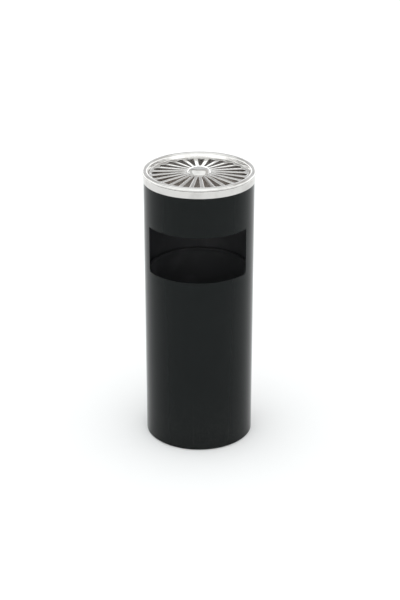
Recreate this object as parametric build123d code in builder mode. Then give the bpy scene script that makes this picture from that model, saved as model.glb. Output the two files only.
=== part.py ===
from build123d import *
import os
from math import asin, degrees, sqrt

# A free-standing round ash bin: a painted steel drum with a wide waste opening in its front,
# a loose inner bucket, and a stainless top that holds an ash pan under a slotted grille.
# Millimetres, +Z up. The origin is on the floor under the drum's axis; the front faces -Y.

# ---------------------------------------------------------------- driving dimensions
# drum
shell_diameter = 244.0
shell_wall = 1.0
lip_height = 635.0            # top of the pan's rolled lip above the floor
floor_gap = 2.0               # the feet hold the drum's lower edge this far off the floor
opening_drop = 90.0           # from the collar's band down to the waste opening
opening_height = 105.5
opening_angle = 120.5         # how far round the front the opening runs
opening_low_corner = 6.0
opening_high_corner = 1.5
seam_gap = 0.4                # butt joint of the rolled sheet, down the back
seam_strip_width = 24.0
seam_strip_thickness = 1.0

# base
base_thickness = 1.0
base_height = 12.0            # top face of the base plate above the floor
base_bend = 2.0
foot_diameter = 22.0
foot_taper = 2.0              # the foot narrows by this much on radius towards the floor
foot_inset = 3.0              # clear space between a foot and the base plate's skirt
foot_count = 4
foot_recess = 4.0             # depth of the screw head's pocket

# screws, washers and nuts (M5)
screw_radius = 2.5
screw_head_radius = 4.6
screw_head_height = 3.0
screw_hole_clearance = 0.2
washer_radius = 5.0
washer_thickness = 1.0
nut_across_flats = 8.0
nut_height = 4.0
screw_end_past_nut = 1.5

# stainless top
sheet = 0.8                   # stainless sheet of the collar and the pan
collar_band = 15.5            # visible height of the collar's band
collar_return = 8.0           # depth of the collar's inner flange
collar_shoulder = 7.7         # width of the collar's flat top, which the pan's lip sits on
lip_overhang = 1.9            # the pan's lip stands this far out past the collar's band
lip_drop = 7.7                # from the lip's top to its curled lower edge
lip_curl = 1.6
lip_round = 4.5
pan_ledge_depth = 11.2        # from the lip's top down to the ledge that carries the grille
pan_ledge_width = 6.0
pan_wall_lean = 2.5
ledge_bend = 1.6
pan_depth = 44.0              # from the ledge down to the pan's floor
pan_cavity_lean = 6.0
pan_floor_round = 10.0

# grille
grille_thickness = 1.0
grille_flange = 4.0           # flat rim that rests on the ledge
grille_rise = 5.2             # the grille climbs this far from its rim to its hub
slot_count = 24
slot_inner_radius = 0.9
slot_outer_radius = 8.0
slot_start_gap = 4.0          # solid metal between the hub cap and the slots' narrow ends
hub_radius = 27.0
hub_rise = 8.0
hub_wall = 1.0
hub_boss_radius = 5.5
hub_screw_grip = 3.5          # thread length inside the hub cap's boss

# inner bucket
bucket_side_gap = 11.0        # room for the bail between the bucket's top and the drum
bucket_taper = 13.0           # the bucket narrows by this much on radius towards its floor
bucket_wall_thickness = 0.8
bucket_below_sill = 13.0      # the rolled rim's centre is this far under the sill
rim_wire_radius = 1.5
rim_curl_wall = 0.7
bucket_floor_height = 8.0     # the bucket's floor is set this far up inside its wall
bucket_floor_flange = 6.0

# bail handle and its ears
wire_radius = 2.0
ear_below_rim = 20.0
ear_width = 20.0
ear_thickness = 1.5
ear_standoff = 3.0
ear_bend = 1.0
ear_top = 7.0
ear_flange = 22.0
hook_bend = 2.5
hook_past_ear = 1.2
bail_rest_gap = 0.4
rivet_radius = 1.6
rivet_head_radius = 3.0
rivet_head_height = 1.2
rivet_spacing = 13.0
rivet_edge = 2.0

# clearances
slip_gap = 0.3                # loose pieces lie this far from their seats
weld_gap = 0.1                # pieces fixed to each other
pan_side_gap = 1.6            # the pan drops freely into the collar

# ---------------------------------------------------------------- derived sizes
shell_radius = shell_diameter / 2
shell_inner_radius = shell_radius - shell_wall

collar_top = lip_height - lip_drop - slip_gap
collar_bottom = collar_top - collar_band
collar_outer_radius = shell_radius + slip_gap + sheet
shell_top = collar_top - sheet - slip_gap
opening_sill = collar_bottom - opening_drop - opening_height

collar_inner_radius = collar_outer_radius - collar_shoulder
lip_radius = collar_outer_radius + lip_overhang
lip_inner_radius = collar_inner_radius - pan_side_gap - sheet
ledge_height = lip_height - pan_ledge_depth
ledge_outer_radius = lip_inner_radius - pan_wall_lean
ledge_inner_radius = ledge_outer_radius - pan_ledge_width
pan_floor = ledge_height - pan_depth
pan_floor_radius = ledge_inner_radius - pan_cavity_lean

grille_radius = ledge_outer_radius - ledge_bend - slip_gap
grille_rim_top = ledge_height + slip_gap + grille_thickness
grille_hub_top = grille_rim_top + grille_rise
grille_cone_radius = grille_radius - grille_flange
slot_end = grille_cone_radius
slot_start = hub_radius + slot_start_gap

skirt_radius = shell_inner_radius - weld_gap
base_underside = base_height - base_thickness
foot_radius = foot_diameter / 2
foot_circle = skirt_radius - base_thickness - foot_inset - foot_radius

rim_height = opening_sill - bucket_below_sill
bucket_top_radius = shell_inner_radius - bucket_side_gap
bucket_bottom_radius = bucket_top_radius - bucket_taper
bucket_slope = bucket_taper / (rim_height - base_height)


def bucket_radius(height):
    """Outer radius of the tapered bucket wall at a height above the floor."""
    return bucket_bottom_radius + bucket_slope * (height - base_height)


ear_height = rim_height - ear_below_rim
ear_wall_radius = bucket_radius(ear_height)
ear_inner_face = ear_wall_radius + ear_standoff
ear_outer_face = ear_inner_face + ear_thickness
ear_corner = sqrt((ear_width / 2) ** 2 + ear_top**2)
bail_radius = sqrt((ear_outer_face + slip_gap) ** 2 + ear_corner**2) + wire_radius
hook_end = ear_inner_face - hook_past_ear
rivet_height = ear_height - ear_flange + rivet_head_radius + rivet_edge

# the bail leans back until its wire meets the tapered wall; its lowest point then lies
# this far under the hinge line
bail_reach = ear_wall_radius + wire_radius + bail_rest_gap
bail_drop = (
    bail_reach * bucket_slope
    + sqrt((bail_reach * bucket_slope) ** 2 - (1 + bucket_slope**2) * (bail_reach**2 - bail_radius**2))
) / (1 + bucket_slope**2)
bail_lean = degrees(asin(bail_drop / bail_radius))


def sheet_section(corners, bends, thickness):
    """Section of a bent sheet, thickened to the left of the way its corners are listed."""
    points = [Vector(*corner) for corner in corners]
    runs = [(end - start).normalized() for start, end in zip(points, points[1:])]
    normals = [Vector(-run.Y, run.X) for run in runs]
    moved = [points[0] + normals[0] * thickness]
    moved_bends = []
    for point, before, after, bend in zip(points[1:], normals, normals[1:], bends):
        turn = 1 if before.cross(after).Z > 0 else -1
        moved.append(point + (before + after) * (thickness / (1 + before.dot(after))))
        moved_bends.append(bend - turn * thickness)
    moved.append(points[-1] + normals[-1] * thickness)
    with BuildSketch(Plane.XZ) as section:
        with BuildLine():
            FilletPolyline(*points, radius=bends)
            FilletPolyline(*moved, radius=moved_bends)
            Line(points[0], moved[0])
            Line(points[-1], moved[-1])
        make_face()
    return section.sketch


def save(part, label):
    """Name a finished piece and write it to its own file."""
    part.label = label
    export_step(part, f"parts/{label}.step")


os.makedirs("parts", exist_ok=True)

# ---------------------------------------------------------------- drum
# Rolled and butt-jointed steel tube with the waste opening cut through its front.
with BuildPart() as outer_shell:
    with BuildSketch(Plane.XY.offset(floor_gap)):
        Circle(shell_radius)
        Circle(shell_inner_radius, mode=Mode.SUBTRACT)
    extrude(amount=shell_top - floor_gap)
    with BuildSketch(Plane.XY.offset(opening_sill)):
        with BuildLine():
            mouth = CenterArc((0, 0), shell_diameter, -90 - opening_angle / 2, opening_angle)
            Line((0, 0), mouth @ 0)
            Line(mouth @ 1, (0, 0))
        make_face()
    extrude(amount=opening_height, mode=Mode.SUBTRACT)
    wall_edges = outer_shell.edges().filter_by(GeomType.LINE)
    corner_edges = wall_edges.filter_by(lambda edge: abs(edge.length - shell_wall) < 0.01)
    fillet(corner_edges.group_by(Axis.Z)[0], radius=opening_low_corner)
    wall_edges = outer_shell.edges().filter_by(GeomType.LINE)
    corner_edges = wall_edges.filter_by(lambda edge: abs(edge.length - shell_wall) < 0.01)
    fillet(corner_edges.group_by(Axis.Z)[-1], radius=opening_high_corner)
    with BuildSketch(Plane.XY.offset(floor_gap)):
        with Locations((0, shell_radius)):
            Rectangle(seam_gap, 4 * shell_wall)
    extrude(amount=shell_top - floor_gap, mode=Mode.SUBTRACT)
save(outer_shell.part, "outer_shell")

# Backing strip welded inside, behind the butt joint.
strip_radius = shell_inner_radius - weld_gap
strip_half_angle = degrees(asin(seam_strip_width / 2 / strip_radius))
with BuildPart() as rear_seam_strip:
    with BuildSketch(Plane.XY.offset(base_height + slip_gap)):
        with BuildLine():
            back = CenterArc((0, 0), strip_radius, 90 - strip_half_angle, 2 * strip_half_angle)
            face = CenterArc(
                (0, 0), strip_radius - seam_strip_thickness, 90 - strip_half_angle, 2 * strip_half_angle
            )
            Line(back @ 0, face @ 0)
            Line(back @ 1, face @ 1)
        make_face()
    extrude(amount=collar_bottom - base_height - slip_gap)
save(rear_seam_strip.part, "rear_seam_strip")

# ---------------------------------------------------------------- base
# Pressed disc whose skirt turns down inside the drum and ends flush with its edge.
with BuildPart() as base_plate:
    corners = [(skirt_radius, floor_gap), (skirt_radius, base_height), (0, base_height)]
    add(sheet_section(corners, [base_bend], base_thickness))
    revolve(axis=Axis.Z)
    with BuildSketch(Plane.XY.offset(base_height)):
        with PolarLocations(foot_circle, foot_count, start_angle=45):
            Circle(screw_radius + screw_hole_clearance)
    extrude(amount=-2 * base_thickness, mode=Mode.SUBTRACT)
save(base_plate.part, "base_plate")

# Tapered rubber feet, each with a pocket for its screw's head.
foot_places = PolarLocations(foot_circle, foot_count, start_angle=45).locations
foot_names = ["rear_right", "rear_left", "front_left", "front_right"]
for place, corner in zip(foot_places, foot_names):
    spot = Plane(origin=(place.position.X, place.position.Y, 0))
    with BuildPart() as rubber_foot:
        with BuildSketch(spot):
            Circle(foot_radius - foot_taper)
        with BuildSketch(spot.offset(base_underside)):
            Circle(foot_radius)
        loft()
        with BuildSketch(spot):
            Circle(screw_head_radius + weld_gap)
        extrude(amount=foot_recess, mode=Mode.SUBTRACT)
        with BuildSketch(spot):
            Circle(screw_radius + screw_hole_clearance)
        extrude(amount=base_height, mode=Mode.SUBTRACT)
    save(rubber_foot.part, f"rubber_foot_{corner}")

# Screws up through the feet and the plate, with washers and nuts on top of the plate.
head_seat = foot_recess
nut_seat = base_height + washer_thickness
screw_top = nut_seat + nut_height + screw_end_past_nut
with BuildPart() as foot_screws:
    with BuildSketch(Plane.XY.offset(head_seat)):
        with PolarLocations(foot_circle, foot_count, start_angle=45):
            Circle(screw_head_radius)
    extrude(amount=-screw_head_height)
    with BuildSketch(Plane.XY.offset(head_seat)):
        with PolarLocations(foot_circle, foot_count, start_angle=45):
            Circle(screw_radius)
    extrude(amount=screw_top - head_seat)
save(foot_screws.part, "foot_screws")

with BuildPart() as foot_washers:
    with BuildSketch(Plane.XY.offset(base_height)):
        with PolarLocations(foot_circle, foot_count, start_angle=45):
            Circle(washer_radius)
            Circle(screw_radius + screw_hole_clearance, mode=Mode.SUBTRACT)
    extrude(amount=washer_thickness)
save(foot_washers.part, "foot_washers")

with BuildPart() as foot_nuts:
    with BuildSketch(Plane.XY.offset(nut_seat)):
        with PolarLocations(foot_circle, foot_count, start_angle=45):
            RegularPolygon(nut_across_flats / 2, 6, major_radius=False)
            Circle(screw_radius + weld_gap, mode=Mode.SUBTRACT)
    extrude(amount=nut_height)
save(foot_nuts.part, "foot_nuts")

# ---------------------------------------------------------------- stainless top
# Collar: a band outside the drum, a shoulder over its edge and a flange inside.
with BuildPart() as top_collar:
    corners = [
        (collar_outer_radius, collar_bottom),
        (collar_outer_radius, collar_top),
        (collar_inner_radius, collar_top),
        (collar_inner_radius, collar_top - collar_return),
    ]
    add(sheet_section(corners, [1.5 * sheet, 1.5 * sheet], sheet))
    revolve(axis=Axis.Z)
save(top_collar.part, "top_collar")

# Ash pan: curled lip, short wall, ledge for the grille, deep cavity.
with BuildPart() as ash_pan:
    corners = [
        (lip_radius - lip_curl, lip_height - lip_drop),
        (lip_radius, lip_height - lip_drop + lip_curl),
        (lip_radius, lip_height),
        (lip_inner_radius, lip_height),
        (ledge_outer_radius, ledge_height),
        (ledge_inner_radius, ledge_height),
        (pan_floor_radius, pan_floor),
        (0, pan_floor),
    ]
    bends = [lip_curl, lip_round, lip_round, ledge_bend, ledge_bend, pan_floor_round]
    add(sheet_section(corners, bends, sheet))
    revolve(axis=Axis.Z)
save(ash_pan.part, "ash_pan")

# Grille: a shallow pressed cone with a ring of tapered slots, one of them at the front.
with BuildPart() as grille:
    corners = [
        (grille_radius, grille_rim_top),
        (grille_cone_radius, grille_rim_top),
        (hub_radius, grille_hub_top),
        (0, grille_hub_top),
    ]
    add(sheet_section(corners, [4.0, 6.0], grille_thickness))
    revolve(axis=Axis.Z)
    with BuildSketch(mode=Mode.PRIVATE) as slot:
        with Locations((slot_start + slot_inner_radius, 0)):
            Circle(slot_inner_radius)
        with Locations((slot_end - slot_outer_radius, 0)):
            Circle(slot_outer_radius)
        make_hull()
    with BuildSketch(Plane.XY.offset(ledge_height)):
        with PolarLocations(0, slot_count, start_angle=-90):
            add(slot.sketch)
    extrude(amount=4 * grille_rise, mode=Mode.SUBTRACT)
    with BuildSketch(Plane.XY.offset(ledge_height)):
        Circle(screw_radius + screw_hole_clearance)
    extrude(amount=4 * grille_rise, mode=Mode.SUBTRACT)
save(grille.part, "grille")

# Hub cap: a domed cover with a tapped boss, drawn down onto the grille by one screw.
hub_seat = grille_hub_top + weld_gap
dome_radius = (hub_radius**2 + hub_rise**2) / (2 * hub_rise)
with BuildPart() as hub_cap:
    with BuildSketch(Plane.XZ):
        with Locations((0, hub_seat + hub_rise - dome_radius)):
            Circle(dome_radius)
            Circle(dome_radius - hub_wall, mode=Mode.SUBTRACT)
        with Locations((0, hub_seat)):
            Rectangle(hub_radius, hub_rise, align=(Align.MIN, Align.MIN), mode=Mode.INTERSECT)
    revolve(axis=Axis.Z)
    with BuildSketch(Plane.XY.offset(hub_seat)):
        Circle(hub_boss_radius)
    extrude(amount=hub_rise - hub_wall / 2)
    with BuildSketch(Plane.XY.offset(grille_hub_top)):
        Circle(screw_radius + weld_gap)
    extrude(amount=hub_screw_grip + 2 * weld_gap, mode=Mode.SUBTRACT)
save(hub_cap.part, "hub_cap")

grille_hub_underside = grille_hub_top - grille_thickness
with BuildPart() as hub_washer:
    with BuildSketch(Plane.XY.offset(grille_hub_underside)):
        Circle(washer_radius)
        Circle(screw_radius + screw_hole_clearance, mode=Mode.SUBTRACT)
    extrude(amount=-washer_thickness)
save(hub_washer.part, "hub_washer")

hub_head_seat = grille_hub_underside - washer_thickness
with BuildPart() as hub_screw:
    with BuildSketch(Plane.XY.offset(hub_head_seat)):
        Circle(screw_head_radius)
    extrude(amount=-screw_head_height)
    with BuildSketch(Plane.XY.offset(hub_head_seat)):
        Circle(screw_radius)
    extrude(amount=grille_hub_top + hub_screw_grip - hub_head_seat)
save(hub_screw.part, "hub_screw")

# ---------------------------------------------------------------- inner bucket
# Tapered wall whose top edge is rolled round a wire.
curl_radius = rim_wire_radius + weld_gap / 2 + rim_curl_wall
with BuildPart() as bucket_wall:
    with BuildSketch(Plane.XZ):
        with BuildLine():
            Polyline(
                (bucket_bottom_radius, base_height),
                (bucket_top_radius, rim_height),
                (bucket_top_radius - bucket_wall_thickness, rim_height),
                (bucket_bottom_radius - bucket_wall_thickness, base_height),
                close=True,
            )
        make_face()
        with Locations((bucket_top_radius, rim_height)):
            Circle(curl_radius)
            Circle(rim_wire_radius + weld_gap / 2, mode=Mode.SUBTRACT)
    revolve(axis=Axis.Z)
    with BuildSketch(Plane.YZ.offset(-bucket_top_radius)):
        with Locations((rivet_spacing / 2, rivet_height), (-rivet_spacing / 2, rivet_height)):
            Circle(rivet_radius + weld_gap)
    extrude(amount=2 * bucket_top_radius, mode=Mode.SUBTRACT)
save(bucket_wall.part, "bucket_wall")

with BuildPart() as rim_wire:
    with BuildSketch(Plane.XZ):
        with Locations((bucket_top_radius, rim_height)):
            Circle(rim_wire_radius)
    revolve(axis=Axis.Z)
save(rim_wire.part, "rim_wire")

# Floor: a disc with a flange turned down along the wall.
floor_top = base_height + bucket_floor_height
flange_end = floor_top - bucket_floor_flange
floor_inset = bucket_wall_thickness + weld_gap
with BuildPart() as bucket_floor:
    corners = [
        (bucket_radius(flange_end) - floor_inset, flange_end),
        (bucket_radius(floor_top) - floor_inset, floor_top),
        (0, floor_top),
    ]
    add(sheet_section(corners, [base_bend], bucket_wall_thickness))
    revolve(axis=Axis.Z)
save(bucket_floor.part, "bucket_floor")

# Ears: straps riveted to the wall, stepped out so that the bail's hook has room behind them.
foot_face = bucket_radius(ear_height - ear_flange / 2) + weld_gap
for side, name in ((-1, "bail_ear_left"), (1, "bail_ear_right")):
    with BuildPart() as bail_ear:
        corners = [
            (side * foot_face, ear_height - ear_flange),
            (side * foot_face, ear_height - ear_flange / 2 + ear_thickness),
            (side * ear_inner_face, ear_height - ear_top + ear_thickness),
            (side * ear_inner_face, ear_height + ear_top),
        ]
        strap = sheet_section(corners, [ear_bend + ear_thickness, ear_bend], -side * ear_thickness)
        extrude(strap, amount=ear_width / 2, both=True)
        fillet(bail_ear.edges().filter_by(Axis.X).group_by(Axis.Z)[-1], radius=ear_top)
        with BuildSketch(Plane.YZ):
            with Locations((0, ear_height)):
                Circle(wire_radius + slip_gap)
            with Locations((rivet_spacing / 2, rivet_height), (-rivet_spacing / 2, rivet_height)):
                Circle(rivet_radius + weld_gap)
        extrude(amount=side * shell_radius, mode=Mode.SUBTRACT)
    save(bail_ear.part, name)

# Rivets through the ears' feet and the wall.
rivet_outer_face = foot_face + ear_thickness
rivet_head_sag = (rivet_spacing / 2 + rivet_head_radius) ** 2 / 2 / bucket_top_radius
rivet_inner_face = bucket_radius(rivet_height - rivet_head_radius) - bucket_wall_thickness - rivet_head_sag
with BuildPart() as ear_rivets:
    for side in (-1, 1):
        for reach, radius, length in (
            (rivet_inner_face, rivet_radius, rivet_outer_face - rivet_inner_face),
            (rivet_outer_face, rivet_head_radius, rivet_head_height),
            (rivet_inner_face - rivet_head_height, rivet_head_radius, rivet_head_height),
        ):
            with BuildSketch(Plane.YZ.offset(side * reach)):
                with Locations((rivet_spacing / 2, rivet_height), (-rivet_spacing / 2, rivet_height)):
                    Circle(radius)
            extrude(amount=side * length)
save(ear_rivets.part, "ear_rivets")

# Bail: a half hoop of wire with hooked ends, leaning back against the bucket.
bail_plane = Plane(origin=(0, 0, ear_height), x_dir=(1, 0, 0), z_dir=(0, 0, 1)).rotated((-bail_lean, 0, 0))
with BuildPart() as bail_handle:
    with BuildLine(bail_plane) as bail_line:
        Line((hook_end, 0), (bail_radius, 0))
        CenterArc((0, 0), bail_radius, 0, 180)
        Line((-bail_radius, 0), (-hook_end, 0))
        hooks = bail_line.vertices().filter_by(lambda v: abs(abs(v.X) - bail_radius) < 0.01)
        fillet(hooks, radius=hook_bend)
    with BuildSketch(Plane(origin=bail_line.wires()[0] @ 0, z_dir=bail_line.wires()[0] % 0)):
        Circle(wire_radius)
    sweep(path=bail_line.wires()[0])
save(bail_handle.part, "bail_handle")
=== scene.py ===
# %% [markdown]
# # A round ash bin in black enamel and polished steel
#
# The bin is a sheet metal product. A black enamelled drum stands on the floor, a stainless
# collar caps it, and an ash pan with a slotted grille hangs in the collar. An inner bucket
# stands in the drum behind the waste opening.
#
# The engineering model fixes every size and every joint. This lesson dresses it: smooth
# sheet metal where the eye rests, a finish for every piece, and a calm studio around it.

from math import asin, cos, pi, radians, sin, sqrt, tan

import bmesh
import bpy
from mathutils import Matrix, Vector


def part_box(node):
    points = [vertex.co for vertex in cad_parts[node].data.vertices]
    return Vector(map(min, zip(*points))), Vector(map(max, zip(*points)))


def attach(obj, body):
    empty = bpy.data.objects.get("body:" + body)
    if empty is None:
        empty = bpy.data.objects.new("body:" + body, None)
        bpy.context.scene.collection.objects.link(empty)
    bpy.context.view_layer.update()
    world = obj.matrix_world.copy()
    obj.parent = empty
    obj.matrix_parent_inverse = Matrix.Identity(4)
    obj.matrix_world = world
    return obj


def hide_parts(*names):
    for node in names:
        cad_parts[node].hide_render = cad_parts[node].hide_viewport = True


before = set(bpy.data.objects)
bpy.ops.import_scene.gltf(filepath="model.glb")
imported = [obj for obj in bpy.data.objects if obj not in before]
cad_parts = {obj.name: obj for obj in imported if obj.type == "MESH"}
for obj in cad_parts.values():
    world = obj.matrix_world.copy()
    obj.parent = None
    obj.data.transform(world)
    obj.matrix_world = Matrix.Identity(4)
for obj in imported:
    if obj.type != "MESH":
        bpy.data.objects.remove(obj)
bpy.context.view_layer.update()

# %% [markdown]
# ## Measuring the parts
#
# Everything here is turned round one upright axis, so most sizes are either a height or a
# distance from that axis. This helper gives the distances, read from the part's own surface
# between two heights.

# %% Distances from the axis
FLOOR = 0.0
ABOVE_ALL = 1.0


def reach(node, low=FLOOR, high=ABOVE_ALL):
    """Smallest and largest distance from the axis of a part, between two heights."""
    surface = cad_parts[node].data.vertices
    distances = [spot.co.xy.length for spot in surface if low <= spot.co.z <= high]
    return min(distances), max(distances)


drum_inner, drum_outer = reach("outer_shell")
drum_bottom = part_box("outer_shell")[0].z
drum_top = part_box("outer_shell")[1].z
print(f"drum: radius {drum_outer:.4f}, wall {drum_outer - drum_inner:.4f}, top {drum_top:.4f}")

# %% [markdown]
# ## Arithmetic for shaders
#
# A finish is a small network of nodes. Written out node by node it is long and hard to
# read, so one class wraps an output socket and lets ordinary arithmetic add the Math nodes.
# `1 - mask` then works on a mask as it does on a number.

# %% A socket that can be calculated with
def connect(tree, socket, value):
    """Link a signal to a socket, or set the socket to a plain value."""
    if isinstance(value, Signal):
        tree.links.new(value.socket, socket)
    else:
        socket.default_value = value


class Signal:
    """One output socket. Arithmetic on it adds Math nodes to the same tree."""

    def __init__(self, tree, socket):
        self.tree = tree
        self.socket = socket

    def maths(self, operation, *values):
        node = self.tree.nodes.new("ShaderNodeMath")
        node.operation = operation
        for socket, value in zip(node.inputs, values):
            connect(self.tree, socket, value)
        return Signal(self.tree, node.outputs[0])

    def __add__(self, other):
        return self.maths("ADD", self, other)

    def __sub__(self, other):
        return self.maths("SUBTRACT", self, other)

    def __rsub__(self, other):
        return self.maths("SUBTRACT", other, self)

    def __mul__(self, other):
        return self.maths("MULTIPLY", self, other)

    __radd__ = __add__
    __rmul__ = __mul__

    def rise(self, low, high):
        """0 below low, 1 above high, and a smooth climb between them."""
        node = self.tree.nodes.new("ShaderNodeMapRange")
        node.interpolation_type = "SMOOTHSTEP"
        connect(self.tree, node.inputs["Value"], self)
        connect(self.tree, node.inputs["From Min"], low)
        connect(self.tree, node.inputs["From Max"], high)
        return Signal(self.tree, node.outputs["Result"])

# %% [markdown]
# ## Building a finish
#
# `Finish` starts a material with its one shader. Values that are the same all over go
# straight onto the shader, which keeps them safe when the model is exported. `add` makes
# any other node: first its settings, then the values or links of its inputs.

# %% The finish builder
MIX_COLOUR_A = 6
MIX_COLOUR_B = 7
MIX_COLOUR_RESULT = 2


def opaque(red, green, blue):
    """A colour as shader sockets take it."""
    return (red, green, blue, 1.0)


class Finish:
    """A material under construction, around one Principled shader."""

    def __init__(self, name, uniform):
        self.material = bpy.data.materials.new(name)
        self.material.use_nodes = True
        self.tree = self.material.node_tree
        self.shader = self.tree.nodes["Principled BSDF"]
        for socket, value in uniform.items():
            self.shader.inputs[socket].default_value = value
        self.place = self.add("ShaderNodeTexCoord", output="Object")

    def add(self, kind, settings=None, inputs=None, output=0):
        node = self.tree.nodes.new(kind)
        for name, value in (settings or {}).items():
            setattr(node, name, value)
        for name, value in (inputs or {}).items():
            connect(self.tree, node.inputs[name], value)
        return Signal(self.tree, node.outputs[output])

    def noise(self, scale, detail=2.0, vector=None):
        """Soft random cloud between 0 and 1, with scale blobs to the metre."""
        inputs = {"Vector": vector or self.place, "Scale": scale, "Detail": detail}
        return self.add("ShaderNodeTexNoise", None, inputs)

    def mix(self, mask, first, second):
        """The first colour where the mask is 0, the second where it is 1."""
        inputs = {"Factor": mask, MIX_COLOUR_A: first, MIX_COLOUR_B: second}
        return self.add("ShaderNodeMix", {"data_type": "RGBA"}, inputs, MIX_COLOUR_RESULT)

    def feed(self, socket, value):
        connect(self.tree, self.shader.inputs[socket], value)

    def relief(self, height, depth, strength=1.0):
        """Fine surface relief, depth metres from its lowest to its highest point."""
        inputs = {"Height": height, "Distance": depth, "Strength": strength}
        self.feed("Normal", self.add("ShaderNodeBump", None, inputs, "Normal"))

    def axis_distance(self):
        """How far each point is from the bin's axis."""
        flat = self.add("ShaderNodeMapping", None, {"Vector": self.place, "Scale": (1, 1, 0)}, "Vector")
        return self.add("ShaderNodeVectorMath", {"operation": "LENGTH"}, {0: flat}, "Value")

    def height(self):
        """How far each point is above the floor."""
        return self.add("ShaderNodeSeparateXYZ", None, {"Vector": self.place}, "Z")

    def turned_place(self, stretch):
        """A place that changes only along the section, as the marks of a lathe do."""
        inputs = {"X": self.axis_distance() * stretch, "Z": self.height() * stretch}
        return self.add("ShaderNodeCombineXYZ", None, inputs, "Vector")

# %% [markdown]
# ## Black stoved enamel
#
# The drum is sprayed and baked. Such paint is almost black, and what the eye sees is the
# room in it. Up close it has the slight waviness called orange peel, wiping marks that
# change the gloss, and a little pale dust low down where mops and shoes pass.
#
# A perfectly even shader would look like plastic, so the gloss varies and the peel is a
# very shallow bump. The colour stays close to black throughout.

# %% Enamel finish
def black_gloss_paint():
    paint = Finish("black_gloss_paint", {
        "IOR": 1.5,
        "Specular IOR Level": 0.13,
        "Specular Tint": opaque(0.86, 1.0, 0.97),
    })
    peel = paint.noise(scale=260.0, detail=1.0)
    wiping = paint.noise(scale=14.0, detail=3.0)
    specks = paint.noise(scale=1400.0, detail=0.0).rise(0.70, 0.78)
    low_down = 1 - paint.height().rise(0.01, 0.16)
    dust = specks * (low_down * 0.7 + 0.08)
    tone = paint.mix(wiping, opaque(0.0040, 0.0042, 0.0044), opaque(0.0054, 0.0057, 0.0060))
    paint.feed("Base Color", paint.mix(dust, tone, opaque(0.09, 0.088, 0.082)))
    paint.feed("Roughness", wiping * 0.04 + low_down * 0.05 + dust * 0.4 + 0.035)
    paint.relief(peel, depth=0.000007)
    return paint.material


enamel = black_gloss_paint()
print("made", enamel.name)

# %% [markdown]
# ## Satin black
#
# The bucket and the base plate get a cheaper, thinner coat. It is less glossy, a little
# lighter, and grained like powder coating.

# %% Satin finish
def black_satin_paint():
    paint = Finish("black_satin_paint", {"IOR": 1.45})
    grain = paint.noise(scale=900.0, detail=2.0)
    rubbed = paint.noise(scale=22.0, detail=4.0).rise(0.45, 0.75)
    paint.feed("Base Color", paint.mix(rubbed, opaque(0.034, 0.035, 0.037), opaque(0.046, 0.047, 0.049)))
    paint.feed("Roughness", 0.48 - rubbed * 0.12 + grain * 0.08)
    paint.relief(grain, depth=0.00006)
    return paint.material


satin = black_satin_paint()
print("made", satin.name)

# %% [markdown]
# ## Polished stainless steel
#
# The collar, pan and grille are buffed while they turn, so their finest marks run round
# the axis. Noise that is fed only the distance from the axis and the height gives rings
# like that on flat, sloped and upright faces alike.
#
# Two more layers make it used steel: soft smudges from hands, and under the grille a brown
# film of ash and tar that gets thicker towards the pan's floor. One function makes both
# versions, because the steel is the same.

# %% Steel finish
RING_MARKS = 2600.0


def stainless(name, film_top=None, film_bottom=None):
    """Buffed steel. With two heights, a brown ash film thickens from the first to the second."""
    steel = Finish(name, {"Metallic": 1.0})
    rings = steel.noise(scale=1.0, detail=3.0, vector=steel.turned_place(RING_MARKS))
    smudges = steel.noise(scale=38.0, detail=4.0).rise(0.42, 0.72)
    bright = steel.mix(smudges, opaque(0.63, 0.62, 0.605), opaque(0.54, 0.53, 0.515))
    roughness = rings * 0.05 + smudges * 0.05 + 0.07
    if film_top is not None:
        depth_down = 1 - steel.height().rise(film_bottom, film_top)
        patches = steel.noise(scale=55.0, detail=5.0).rise(0.25, 0.75)
        film = depth_down * (patches * 0.45 + 0.45)
        bright = steel.mix(film, bright, opaque(0.19, 0.145, 0.115))
        roughness = roughness + film * 0.22
        steel.feed("Metallic", 1 - film * 0.8)
    steel.feed("Base Color", bright)
    steel.feed("Roughness", roughness)
    steel.relief(rings, depth=0.0000025)
    return steel.material


pan_floor_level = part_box("ash_pan")[0].z
ledge_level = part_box("grille")[0].z
polished = stainless("polished_stainless")
stained = stainless("stained_stainless", film_top=ledge_level, film_bottom=pan_floor_level)
print("made", polished.name, "and", stained.name)

# %% [markdown]
# ## Zinc plate and rubber
#
# Screws, washers, nuts, rivets, ears and the bail are plated. Zinc is a greyer, duller
# mirror than stainless, clouded by its passivation. The feet are moulded rubber: matt,
# nearly black, and slightly pitted.

# %% Small hardware finishes
def zinc_plate():
    zinc = Finish("zinc_plate", {"Metallic": 1.0})
    cloud = zinc.noise(scale=120.0, detail=4.0)
    zinc.feed("Base Color", zinc.mix(cloud, opaque(0.50, 0.51, 0.52), opaque(0.66, 0.66, 0.64)))
    zinc.feed("Roughness", cloud * 0.22 + 0.2)
    zinc.relief(zinc.noise(scale=1500.0), depth=0.000008)
    return zinc.material


def black_rubber():
    rubber = Finish("black_rubber", {"IOR": 1.5})
    pits = rubber.noise(scale=1800.0, detail=2.0)
    bloom = rubber.noise(scale=60.0, detail=3.0).rise(0.4, 0.8)
    rubber.feed("Base Color", rubber.mix(bloom, opaque(0.020, 0.020, 0.021), opaque(0.045, 0.044, 0.043)))
    rubber.feed("Roughness", bloom * 0.1 + 0.72)
    rubber.relief(pits, depth=0.00005)
    return rubber.material


zinc = zinc_plate()
rubber = black_rubber()
print("made", zinc.name, "and", rubber.name)

# %% [markdown]
# ## From a form to a piece
#
# Each visible sheet is modelled as a skin with no thickness, which is easy to shape. Then
# Solidify gives it the sheet's thickness behind the visible side, Bevel breaks its cut
# edges, and Weighted Normal keeps the broad faces smooth right up to those edges.

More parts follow.
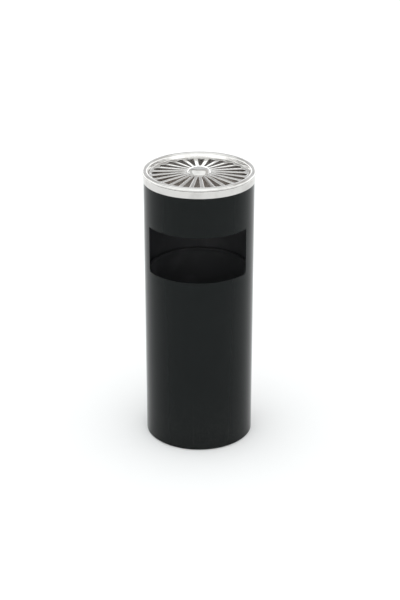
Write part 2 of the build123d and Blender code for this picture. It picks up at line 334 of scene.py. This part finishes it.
# %% Turning a skin into sheet metal
EDGE_BREAK = 0.0002
EDGE_SEGMENTS = 2
CUT_EDGE_ANGLE = radians(50)


def face_skin(form, face, direction):
    """Recalculate the skin's normals so that this face looks along this direction."""
    bmesh.ops.recalc_face_normals(form, faces=form.faces)
    if face.normal.dot(direction) < 0:
        bmesh.ops.reverse_faces(form, faces=form.faces)


def finish_sheet(name, form, thickness, finish, body, stands_for):
    """Make a piece from a skin: thickness behind its visible side, broken edges, a finish."""
    mesh = bpy.data.meshes.new(name)
    form.to_mesh(mesh)
    form.free()
    mesh.shade_smooth()
    mesh.materials.append(finish)
    piece = bpy.data.objects.new(name, mesh)
    bpy.context.scene.collection.objects.link(piece)
    wall = piece.modifiers.new("wall", "SOLIDIFY")
    wall.thickness = thickness
    wall.offset = -1.0
    wall.use_even_offset = True
    edges = piece.modifiers.new("edges", "BEVEL")
    edges.width = min(EDGE_BREAK, thickness * 0.3)
    edges.segments = EDGE_SEGMENTS
    edges.limit_method = "ANGLE"
    edges.angle_limit = CUT_EDGE_ANGLE
    piece.modifiers.new("shading", "WEIGHTED_NORMAL").keep_sharp = True
    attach(piece, body)
    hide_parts(stands_for)
    print(f"{name}: {len(mesh.polygons)} faces, {thickness * 1000:.1f} mm sheet")
    return piece

# %% [markdown]
# ## Spun sheet
#
# The collar, the pan, the hub cap and the bucket are all turned or spun on a lathe. The
# section is a chain of corners. Bevelling a corner's vertex rounds it with the bend radius
# that the press tool has, and spinning the chain round the axis gives the sheet.
#
# A vertex bevel is measured along the two edges, so the bend radius is turned into that
# distance with the tangent of half the turn.

# %% Section and lathe
SPIN_STEPS = 240
BEND_SEGMENTS = 8
AXIS = Vector((0, 0, 1))
UP = Vector((0, 0, 1))
CLOSE = 1e-6


def draw_section(corners):
    """A chain of edges through (radius, height) corners, on the plane of X and Z."""
    form = bmesh.new()
    chain = [form.verts.new((radius, 0, height)) for radius, height in corners]
    for start, end in zip(chain, chain[1:]):
        form.edges.new((start, end))
    return form, chain


def round_corner(form, corner, bend, segments=BEND_SEGMENTS):
    """Replace a corner of a section or an outline with an arc of this radius."""
    before, after = [edge.other_vert(corner).co for edge in corner.link_edges]
    turn = pi - (before - corner.co).angle(after - corner.co)
    bmesh.ops.bevel(
        form,
        geom=[corner],
        offset=bend * tan(turn / 2),
        affect="VERTICES",
        segments=segments,
        profile=0.5,
        material=-1,
    )


def spin_section(form, steps=SPIN_STEPS):
    """Spin the whole section once round the axis and close its seam and its pole."""
    bmesh.ops.spin(
        form,
        geom=form.verts[:] + form.edges[:],
        cent=(0, 0, 0),
        axis=AXIS,
        angle=2 * pi,
        steps=steps,
        use_merge=True,
    )
    bmesh.ops.remove_doubles(form, verts=form.verts, dist=CLOSE)
    highest = max(form.faces, key=lambda face: face.calc_center_median().z)
    face_skin(form, highest, UP)


def lathe(corners, bends):
    """A spun skin from its section's corners and the bend radius at each inner corner."""
    form, chain = draw_section(corners)
    for corner, bend in zip(chain[1:-1], bends):
        round_corner(form, corner, bend)
    spin_section(form)
    return form

# %% [markdown]
# ## The drum
#
# The real drum starts as a flat blank. The waste opening is punched out, the blank is
# rolled, and its ends meet in a butt joint down the back. Making the model the same way
# gives clean columns of faces and true round corners:
#
# 1. draw half of the blank as one face, with the opening as a notch in its side,
# 2. round the notch's corners and cut the face into narrow columns,
# 3. mirror it, then roll it by turning each point's X into an angle.

# %% The punched blank
DRUM_COLUMNS = 240
LOW_CORNER = 0.006
HIGH_CORNER = 0.0015
BUTT_JOINT = 0.0004
END_MARGIN = 0.001

wall_spots = [
    spot.co
    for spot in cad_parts["outer_shell"].data.vertices
    if drum_bottom + END_MARGIN < spot.co.z < drum_top - END_MARGIN and spot.co.y < 0
]
opening_low = min(spot.z for spot in wall_spots)
opening_high = max(spot.z for spot in wall_spots)
opening_half_angle = max(Vector((0, -1)).angle(spot.xy) for spot in wall_spots)
print(f"opening: {opening_low:.3f} to {opening_high:.3f}, half angle {opening_half_angle:.4f}")

half_blank = pi * drum_outer - BUTT_JOINT / 2
half_opening = opening_half_angle * drum_outer
drum_form, outline = draw_section([
    (0, drum_bottom),
    (half_blank, drum_bottom),
    (half_blank, drum_top),
    (0, drum_top),
    (0, opening_high),
    (half_opening, opening_high),
    (half_opening, opening_low),
    (0, opening_low),
])
drum_form.faces.new(outline)
round_corner(drum_form, outline[5], HIGH_CORNER)
round_corner(drum_form, outline[6], LOW_CORNER)

# %% Columns, mirror and roll
column = half_blank / (DRUM_COLUMNS // 2)
for index in range(1, DRUM_COLUMNS // 2):
    bmesh.ops.bisect_plane(
        drum_form,
        geom=drum_form.verts[:] + drum_form.edges[:] + drum_form.faces[:],
        dist=CLOSE,
        plane_co=(index * column, 0, 0),
        plane_no=(1, 0, 0),
    )
bmesh.ops.mirror(
    drum_form,
    geom=drum_form.verts[:] + drum_form.edges[:] + drum_form.faces[:],
    matrix=Matrix.Identity(4),
    merge_dist=CLOSE,
    axis="X",
)
for spot in drum_form.verts:
    angle = spot.co.x / drum_outer
    spot.co = (drum_outer * sin(angle), -drum_outer * cos(angle), spot.co.z)
drum_form.normal_update()
drum_form.faces.ensure_lookup_table()
some_face = drum_form.faces[0]
some_centre = some_face.calc_center_median()
face_skin(drum_form, some_face, Vector((some_centre.x, some_centre.y, 0)))
drum = finish_sheet(
    "drum_shell", drum_form, drum_outer - drum_inner, enamel, "drum", "outer_shell"
)
drum.data.materials.append(satin)
drum.modifiers["wall"].material_offset = 1      # the drum's inner side is satin

# %% [markdown]
# ## The collar
#
# A band outside the drum, a flat shoulder that the pan's lip rests on, and a flange that
# turns down inside. Its thickness and the depth of the flange are the press shop's; the
# outer sizes come from the engineering part.

# %% Collar
SHEET = 0.0008
COLLAR_FLANGE = 0.008
COLLAR_BEND = 0.0012

collar_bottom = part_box("top_collar")[0].z
collar_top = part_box("top_collar")[1].z
collar_inner, collar_outer = reach("top_collar")
collar_form = lathe(
    [
        (collar_outer, collar_bottom),
        (collar_outer, collar_top),
        (collar_inner, collar_top),
        (collar_inner, collar_top - COLLAR_FLANGE),
    ],
    [COLLAR_BEND, COLLAR_BEND],
)
finish_sheet(
    "collar_ring", collar_form, SHEET, polished, "top", "top_collar"
)

# %% [markdown]
# ## The ash pan
#
# One deep-drawn piece: a rolled lip with its raw edge curled under, a short wall, a ledge
# for the grille, and the cavity. The generous rounds of the lip are what catch the light,
# so this section gets the most bends.

# %% Pan
LIP_DROP = 0.0077
LIP_CURL = 0.0016
LIP_ROUND = 0.0045
LIP_WIDTH = 0.012
PAN_WALL_LEAN = 0.0025
LEDGE_WIDTH = 0.006
LEDGE_GAP = 0.0003
LEDGE_BEND = 0.0016
CAVITY_LEAN = 0.006
FLOOR_ROUND = 0.010

lip_radius = reach("ash_pan")[1]
lip_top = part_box("ash_pan")[1].z
lip_inner = lip_radius - LIP_WIDTH
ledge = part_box("grille")[0].z - LEDGE_GAP
ledge_outer = lip_inner - PAN_WALL_LEAN
ledge_inner = ledge_outer - LEDGE_WIDTH
pan_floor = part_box("ash_pan")[0].z + SHEET
pan_form = lathe(
    [
        (lip_radius - LIP_CURL, lip_top - LIP_DROP),
        (lip_radius, lip_top - LIP_DROP + LIP_CURL),
        (lip_radius, lip_top),
        (lip_inner, lip_top),
        (ledge_outer, ledge),
        (ledge_inner, ledge),
        (ledge_inner - CAVITY_LEAN, pan_floor),
        (0, pan_floor),
    ],
    [LIP_CURL, LIP_ROUND, LIP_ROUND, LEDGE_BEND, LEDGE_BEND, FLOOR_ROUND],
)
finish_sheet(
    "ash_pan_drawn", pan_form, SHEET, stained, "pan", "ash_pan"
)

# %% [markdown]
# ## The grille
#
# A shallow cone with a ring of tapered slots. The press that cuts the slots also rolls
# their edges down, which is why each bar catches light along its middle and goes dark at
# its sides.
#
# Half of one slot's sector is a plain grid. Its points are moved so that one side of the
# grid follows the slot's edge and the other side follows the middle of the bar. Mirroring
# and a duplicating spin make the rest. The distance from the slot's outline says how far
# each point is rolled down.

# %% The slot's outline
SLOT_COUNT = 24
SLOT_GAP_TO_HUB = 0.004
RIM_WIDTH = 0.004
SLOT_TIP = 0.0009
SLOT_HEAD = 0.008
GRILLE_SHEET = 0.001
ROLL_WIDTH = 0.0022
ROLL_DEPTH = 0.0007

hub_radius = reach("hub_cap")[1]
screw_hole, grille_radius = reach("grille")
grille_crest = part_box("grille")[1].z
rim_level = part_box("grille")[0].z + GRILLE_SHEET
slot_start = hub_radius + SLOT_GAP_TO_HUB
slot_end = grille_radius - RIM_WIDTH
tip_centre = slot_start + SLOT_TIP
head_centre = slot_end - SLOT_HEAD
slot_lean = asin((SLOT_HEAD - SLOT_TIP) / (head_centre - tip_centre))


def outside_slot(along, aside):
    """Distance of a point from the slot's outline, below 0 inside the slot."""
    aside = abs(aside)
    side = (along - tip_centre) * cos(slot_lean) + aside * sin(slot_lean)
    if side < 0:
        return sqrt((along - tip_centre) ** 2 + aside**2) - SLOT_TIP
    if side > (head_centre - tip_centre) * cos(slot_lean):
        return sqrt((along - head_centre) ** 2 + aside**2) - SLOT_HEAD
    return aside * cos(slot_lean) - (along - tip_centre) * sin(slot_lean) - SLOT_TIP


def slot_half_angle(radius):
    """Half the angle that the slot takes up at a distance from the axis."""
    low, high = 0.0, pi / SLOT_COUNT
    if outside_slot(radius, 0) >= 0:
        return 0.0
    for _ in range(40):
        middle = (low + high) / 2
        if outside_slot(radius * cos(middle), radius * sin(middle)) < 0:
            low = middle
        else:
            high = middle
    return high


print(f"slot: {slot_start:.4f} to {slot_end:.4f}, sides lean {slot_lean:.4f}")

# %% Where the grid's rows and columns go
HEAD_ROWS = 12
SIDE_ROWS = 8
TIP_ROWS = 5
BAR_COLUMNS = 10
BEFORE_SLOT = 0.0005


def spread(start, end, count):
    """Evenly spaced values, with both ends."""
    return [start + (end - start) * index / (count - 1) for index in range(count)]


head_arc = [head_centre + SLOT_HEAD * sin(turn) for turn in spread(-slot_lean, pi / 2, HEAD_ROWS)]
tip_arc = [tip_centre - SLOT_TIP * sin(turn) for turn in spread(slot_lean, pi / 2, TIP_ROWS)]
sides = spread(tip_arc[0], head_arc[0], SIDE_ROWS)[1:-1]
rim = [slot_end + step * RIM_WIDTH for step in (0.12, 0.4, 0.7, 1.0)]
middle = [
    screw_hole,
    hub_radius * 0.5,
    hub_radius * 0.9,
    hub_radius + SLOT_GAP_TO_HUB * 0.6,
    slot_start - BEFORE_SLOT,
]
rows = sorted(middle + tip_arc + sides + head_arc + rim)
print(f"grille grid: {len(rows)} rows by {BAR_COLUMNS + 1} columns for each half sector")

# %% Grille
def grille_level(radius):
    """Height of the grille's upper face before its slots are rolled."""
    climb = (slot_end - radius) / (slot_end - hub_radius)
    return rim_level + (grille_crest - rim_level) * min(max(climb, 0.0), 1.0)


grille_form = bmesh.new()
bmesh.ops.create_grid(grille_form, x_segments=len(rows) - 1, y_segments=BAR_COLUMNS, size=0.5)
for spot in grille_form.verts:
    radius = rows[round((spot.co.x + 0.5) * (len(rows) - 1))]
    edge_angle = slot_half_angle(radius)
    across = 1 - cos((spot.co.y + 0.5) * pi / 2)
    angle = edge_angle + (pi / SLOT_COUNT - edge_angle) * across
    along, aside = radius * cos(angle), radius * sin(angle)
    rolled = max(0.0, 1 - outside_slot(along, aside) / ROLL_WIDTH)
    spot.co = (aside, -along, grille_level(radius) - ROLL_DEPTH * rolled**2)
bmesh.ops.mirror(
    grille_form,
    geom=grille_form.verts[:] + grille_form.edges[:] + grille_form.faces[:],
    matrix=Matrix.Identity(4),
    merge_dist=CLOSE,
    axis="X",
)
bmesh.ops.spin(
    grille_form,
    geom=grille_form.verts[:] + grille_form.edges[:] + grille_form.faces[:],
    cent=(0, 0, 0),
    axis=AXIS,
    angle=2 * pi * (SLOT_COUNT - 1) / SLOT_COUNT,
    steps=SLOT_COUNT - 1,
    use_duplicate=True,
)
bmesh.ops.remove_doubles(grille_form, verts=grille_form.verts, dist=CLOSE)
face_skin(grille_form, max(grille_form.faces, key=lambda face: face.calc_center_median().z), UP)
finish_sheet(
    "grille_pressed", grille_form, GRILLE_SHEET, polished, "grille_unit", "grille"
)

# %% [markdown]
# ## The hub cap
#
# A pressed button over the screw: nearly flat on top, and rounding down more and more
# steeply towards its edge. A high power of the distance from the axis gives that shape.

# %% Hub cap
HUB_WALL = 0.001
BUTTON_STEPS = 28
BUTTON_POWER = 5

hub_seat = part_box("hub_cap")[0].z
hub_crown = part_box("hub_cap")[1].z
hub_form = draw_section([
    (hub_radius * step, hub_crown - (hub_crown - hub_seat) * step**BUTTON_POWER)
    for step in spread(0.0, 1.0, BUTTON_STEPS)
])[0]
spin_section(hub_form)
finish_sheet(
    "hub_cap_domed", hub_form, HUB_WALL, polished, "grille_unit", "hub_cap"
)

# %% [markdown]
# ## The inner bucket
#
# A tapered wall whose top edge is necked in and rolled round a wire. The skin is the
# wall's inner face, because that face goes on to become the outside of the roll.

# %% Bucket wall
BUCKET_SHEET = 0.0007
ROLL_STEPS = 20
ROLL_TURN = radians(290)
NECK_HEIGHT = 0.006
NECK_BEND = 0.004

bucket_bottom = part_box("bucket_wall")[0].z
roll_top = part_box("bucket_wall")[1].z
wire_low, wire_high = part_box("rim_wire")
wire_centre = (wire_low.z + wire_high.z) / 2
wire_circle = sum(reach("rim_wire")) / 2
roll_radius = roll_top - wire_centre
foot_radius = reach("bucket_wall", bucket_bottom - END_MARGIN, bucket_bottom + END_MARGIN)[0]
neck = wire_centre - NECK_HEIGHT
bucket_form, bucket_chain = draw_section([
    (foot_radius, bucket_bottom),
    (wire_circle - BUCKET_SHEET, neck),
    (wire_circle - roll_radius, wire_centre),
])
round_corner(bucket_form, bucket_chain[1], NECK_BEND)
bmesh.ops.spin(
    bucket_form,
    geom=[bucket_chain[2]],
    cent=(wire_circle, 0, wire_centre),
    axis=(0, 1, 0),
    angle=ROLL_TURN,
    steps=ROLL_STEPS,
)
spin_section(bucket_form)
finish_sheet(
    "bucket_rolled", bucket_form, BUCKET_SHEET, satin, "bucket", "bucket_wall"
)

# %% [markdown]
# ## Finishes for the engineering parts
#
# The feet, fasteners, base, bucket floor, ears and bail already have their true shape.
# They keep it, and each gets the finish that its own material slot names.

# %% Dress the carried-over parts
FINISHES = {
    "black_gloss_paint": enamel,
    "black_satin_paint": satin,
    "polished_stainless": polished,
    "zinc_plate": zinc,
    "black_rubber": rubber,
}
dressed = 0
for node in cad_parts.values():
    for material_slot in node.material_slots:
        material_slot.material = FINISHES[material_slot.material.name.split(".")[0]]
        dressed += 1
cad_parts["rear_seam_strip"].material_slots[0].material = satin
print("dressed", dressed, "parts")

# %% [markdown]
# ## Studio
#
# A wide, pale floor, a pale wall far off, and two large soft lights, one to each side. The
# studio is the same all round, so the bin looks alike from every side.

# %% Floor
FLOOR_RADIUS = 40.0


def studio_floor():
    form = bmesh.new()
    bmesh.ops.create_circle(form, cap_ends=True, segments=96, radius=FLOOR_RADIUS)
    mesh = bpy.data.meshes.new("studio_floor")
    form.to_mesh(mesh)
    form.free()
    paper = Finish("pale_floor", {"Roughness": 0.9})
    cloud = paper.noise(scale=3.0)
    paper.feed("Base Color", paper.mix(cloud, opaque(0.86, 0.86, 0.86), opaque(0.88, 0.88, 0.88)))
    mesh.materials.append(paper.material)
    floor = bpy.data.objects.new("studio_floor", mesh)
    bpy.context.scene.collection.objects.link(floor)


BACKDROP_RADIUS = 25.0
BACKDROP_HEIGHT = 16.0        # half of it is below the floor


def studio_backdrop():
    """A plain pale wall, far off all round."""
    form = bmesh.new()
    bmesh.ops.create_cone(
        form,
        cap_ends=False,
        segments=96,
        radius1=BACKDROP_RADIUS,
        radius2=BACKDROP_RADIUS,
        depth=BACKDROP_HEIGHT,
    )
    mesh = bpy.data.meshes.new("studio_backdrop")
    form.to_mesh(mesh)
    form.free()
    wall = Finish("pale_wall", {"Roughness": 1.0, "Emission Strength": 0.85})
    cloud = wall.noise(scale=0.1)
    wall.feed("Emission Color", wall.mix(cloud, opaque(0.96, 0.97, 0.97), opaque(1.0, 1.0, 1.0)))
    mesh.materials.append(wall.material)
    backdrop = bpy.data.objects.new("studio_backdrop", mesh)
    bpy.context.scene.collection.objects.link(backdrop)


studio_floor()
studio_backdrop()

# %% Room light and lamps
CEILING_STARTS = 0.41         # height of the direction, as the sine of its climb
CEILING_FULL = 0.60


def room_light():
    """Even pale light all round, dimmer towards the ceiling."""
    world = bpy.data.worlds.new("pale_room")
    bpy.context.scene.world = world
    world.use_nodes = True
    tree = world.node_tree
    split = tree.nodes.new("ShaderNodeSeparateXYZ")
    tree.links.new(tree.nodes.new("ShaderNodeTexCoord").outputs["Generated"], split.inputs["Vector"])
    ceiling = tree.nodes.new("ShaderNodeMix")
    ceiling.data_type = "RGBA"
    climb = Signal(tree, split.outputs["Z"])
    connect(tree, ceiling.inputs["Factor"], climb.rise(CEILING_STARTS, CEILING_FULL))
    connect(tree, ceiling.inputs[MIX_COLOUR_A], opaque(0.80, 0.81, 0.82))
    connect(tree, ceiling.inputs[MIX_COLOUR_B], opaque(0.20, 0.18, 0.155))
    colour = Signal(tree, ceiling.outputs[MIX_COLOUR_RESULT])
    connect(tree, tree.nodes["Background"].inputs["Color"], colour)


LAMP_SPREAD = 130.0           # degrees across: very wide, so reflections of the lamps stay soft


def soft_lamp(name, bearing, height, strength, colour):
    """A soft light so far off that it is even over the whole floor."""
    light = bpy.data.lights.new(name, "SUN")
    light.angle = radians(LAMP_SPREAD)
    light.energy = strength
    light.color = colour
    lamp = bpy.data.objects.new(name, light)
    turn, climb = radians(bearing), radians(height)
    away = Vector((sin(turn) * cos(climb), -cos(turn) * cos(climb), sin(climb)))
    lamp.rotation_euler = (-away).to_track_quat("-Z", "Y").to_euler()
    bpy.context.scene.collection.objects.link(lamp)


room_light()
soft_lamp("left_lamp", -50.0, 62.0, 1.7, (0.93, 0.98, 1.0))
soft_lamp("right_lamp", 75.0, 66.0, 1.5, (0.96, 0.98, 1.0))

# %% [markdown]
# ## Camera
#
# A long lens from above a standing person's eyes, far enough off that the drum's sides stay
# nearly parallel. It stands a few degrees to the right of the front, so the opening turns
# slightly to the left.

# %% Camera
CAMERA_TURN = 2.9             # degrees from the front towards +X, as seen from above
CAMERA_DISTANCE = 3.092
CAMERA_HEIGHT = 1.7254
CAMERA_PITCH = radians(24.42)
CAMERA_LENS = 89.78
SHIFT_ACROSS = 0.0016

camera_data = bpy.data.cameras.new("camera")
camera_data.lens = CAMERA_LENS
camera_data.shift_x = SHIFT_ACROSS
camera = bpy.data.objects.new("camera", camera_data)
turn = radians(CAMERA_TURN)
camera.location = (CAMERA_DISTANCE * sin(turn), -CAMERA_DISTANCE * cos(turn), CAMERA_HEIGHT)
camera.rotation_euler = (pi / 2 - CAMERA_PITCH, 0, turn)
bpy.context.scene.collection.objects.link(camera)
bpy.context.scene.camera = camera
bpy.context.scene.view_settings.view_transform = "Standard"
print("camera stands", CAMERA_DISTANCE, "m in front")
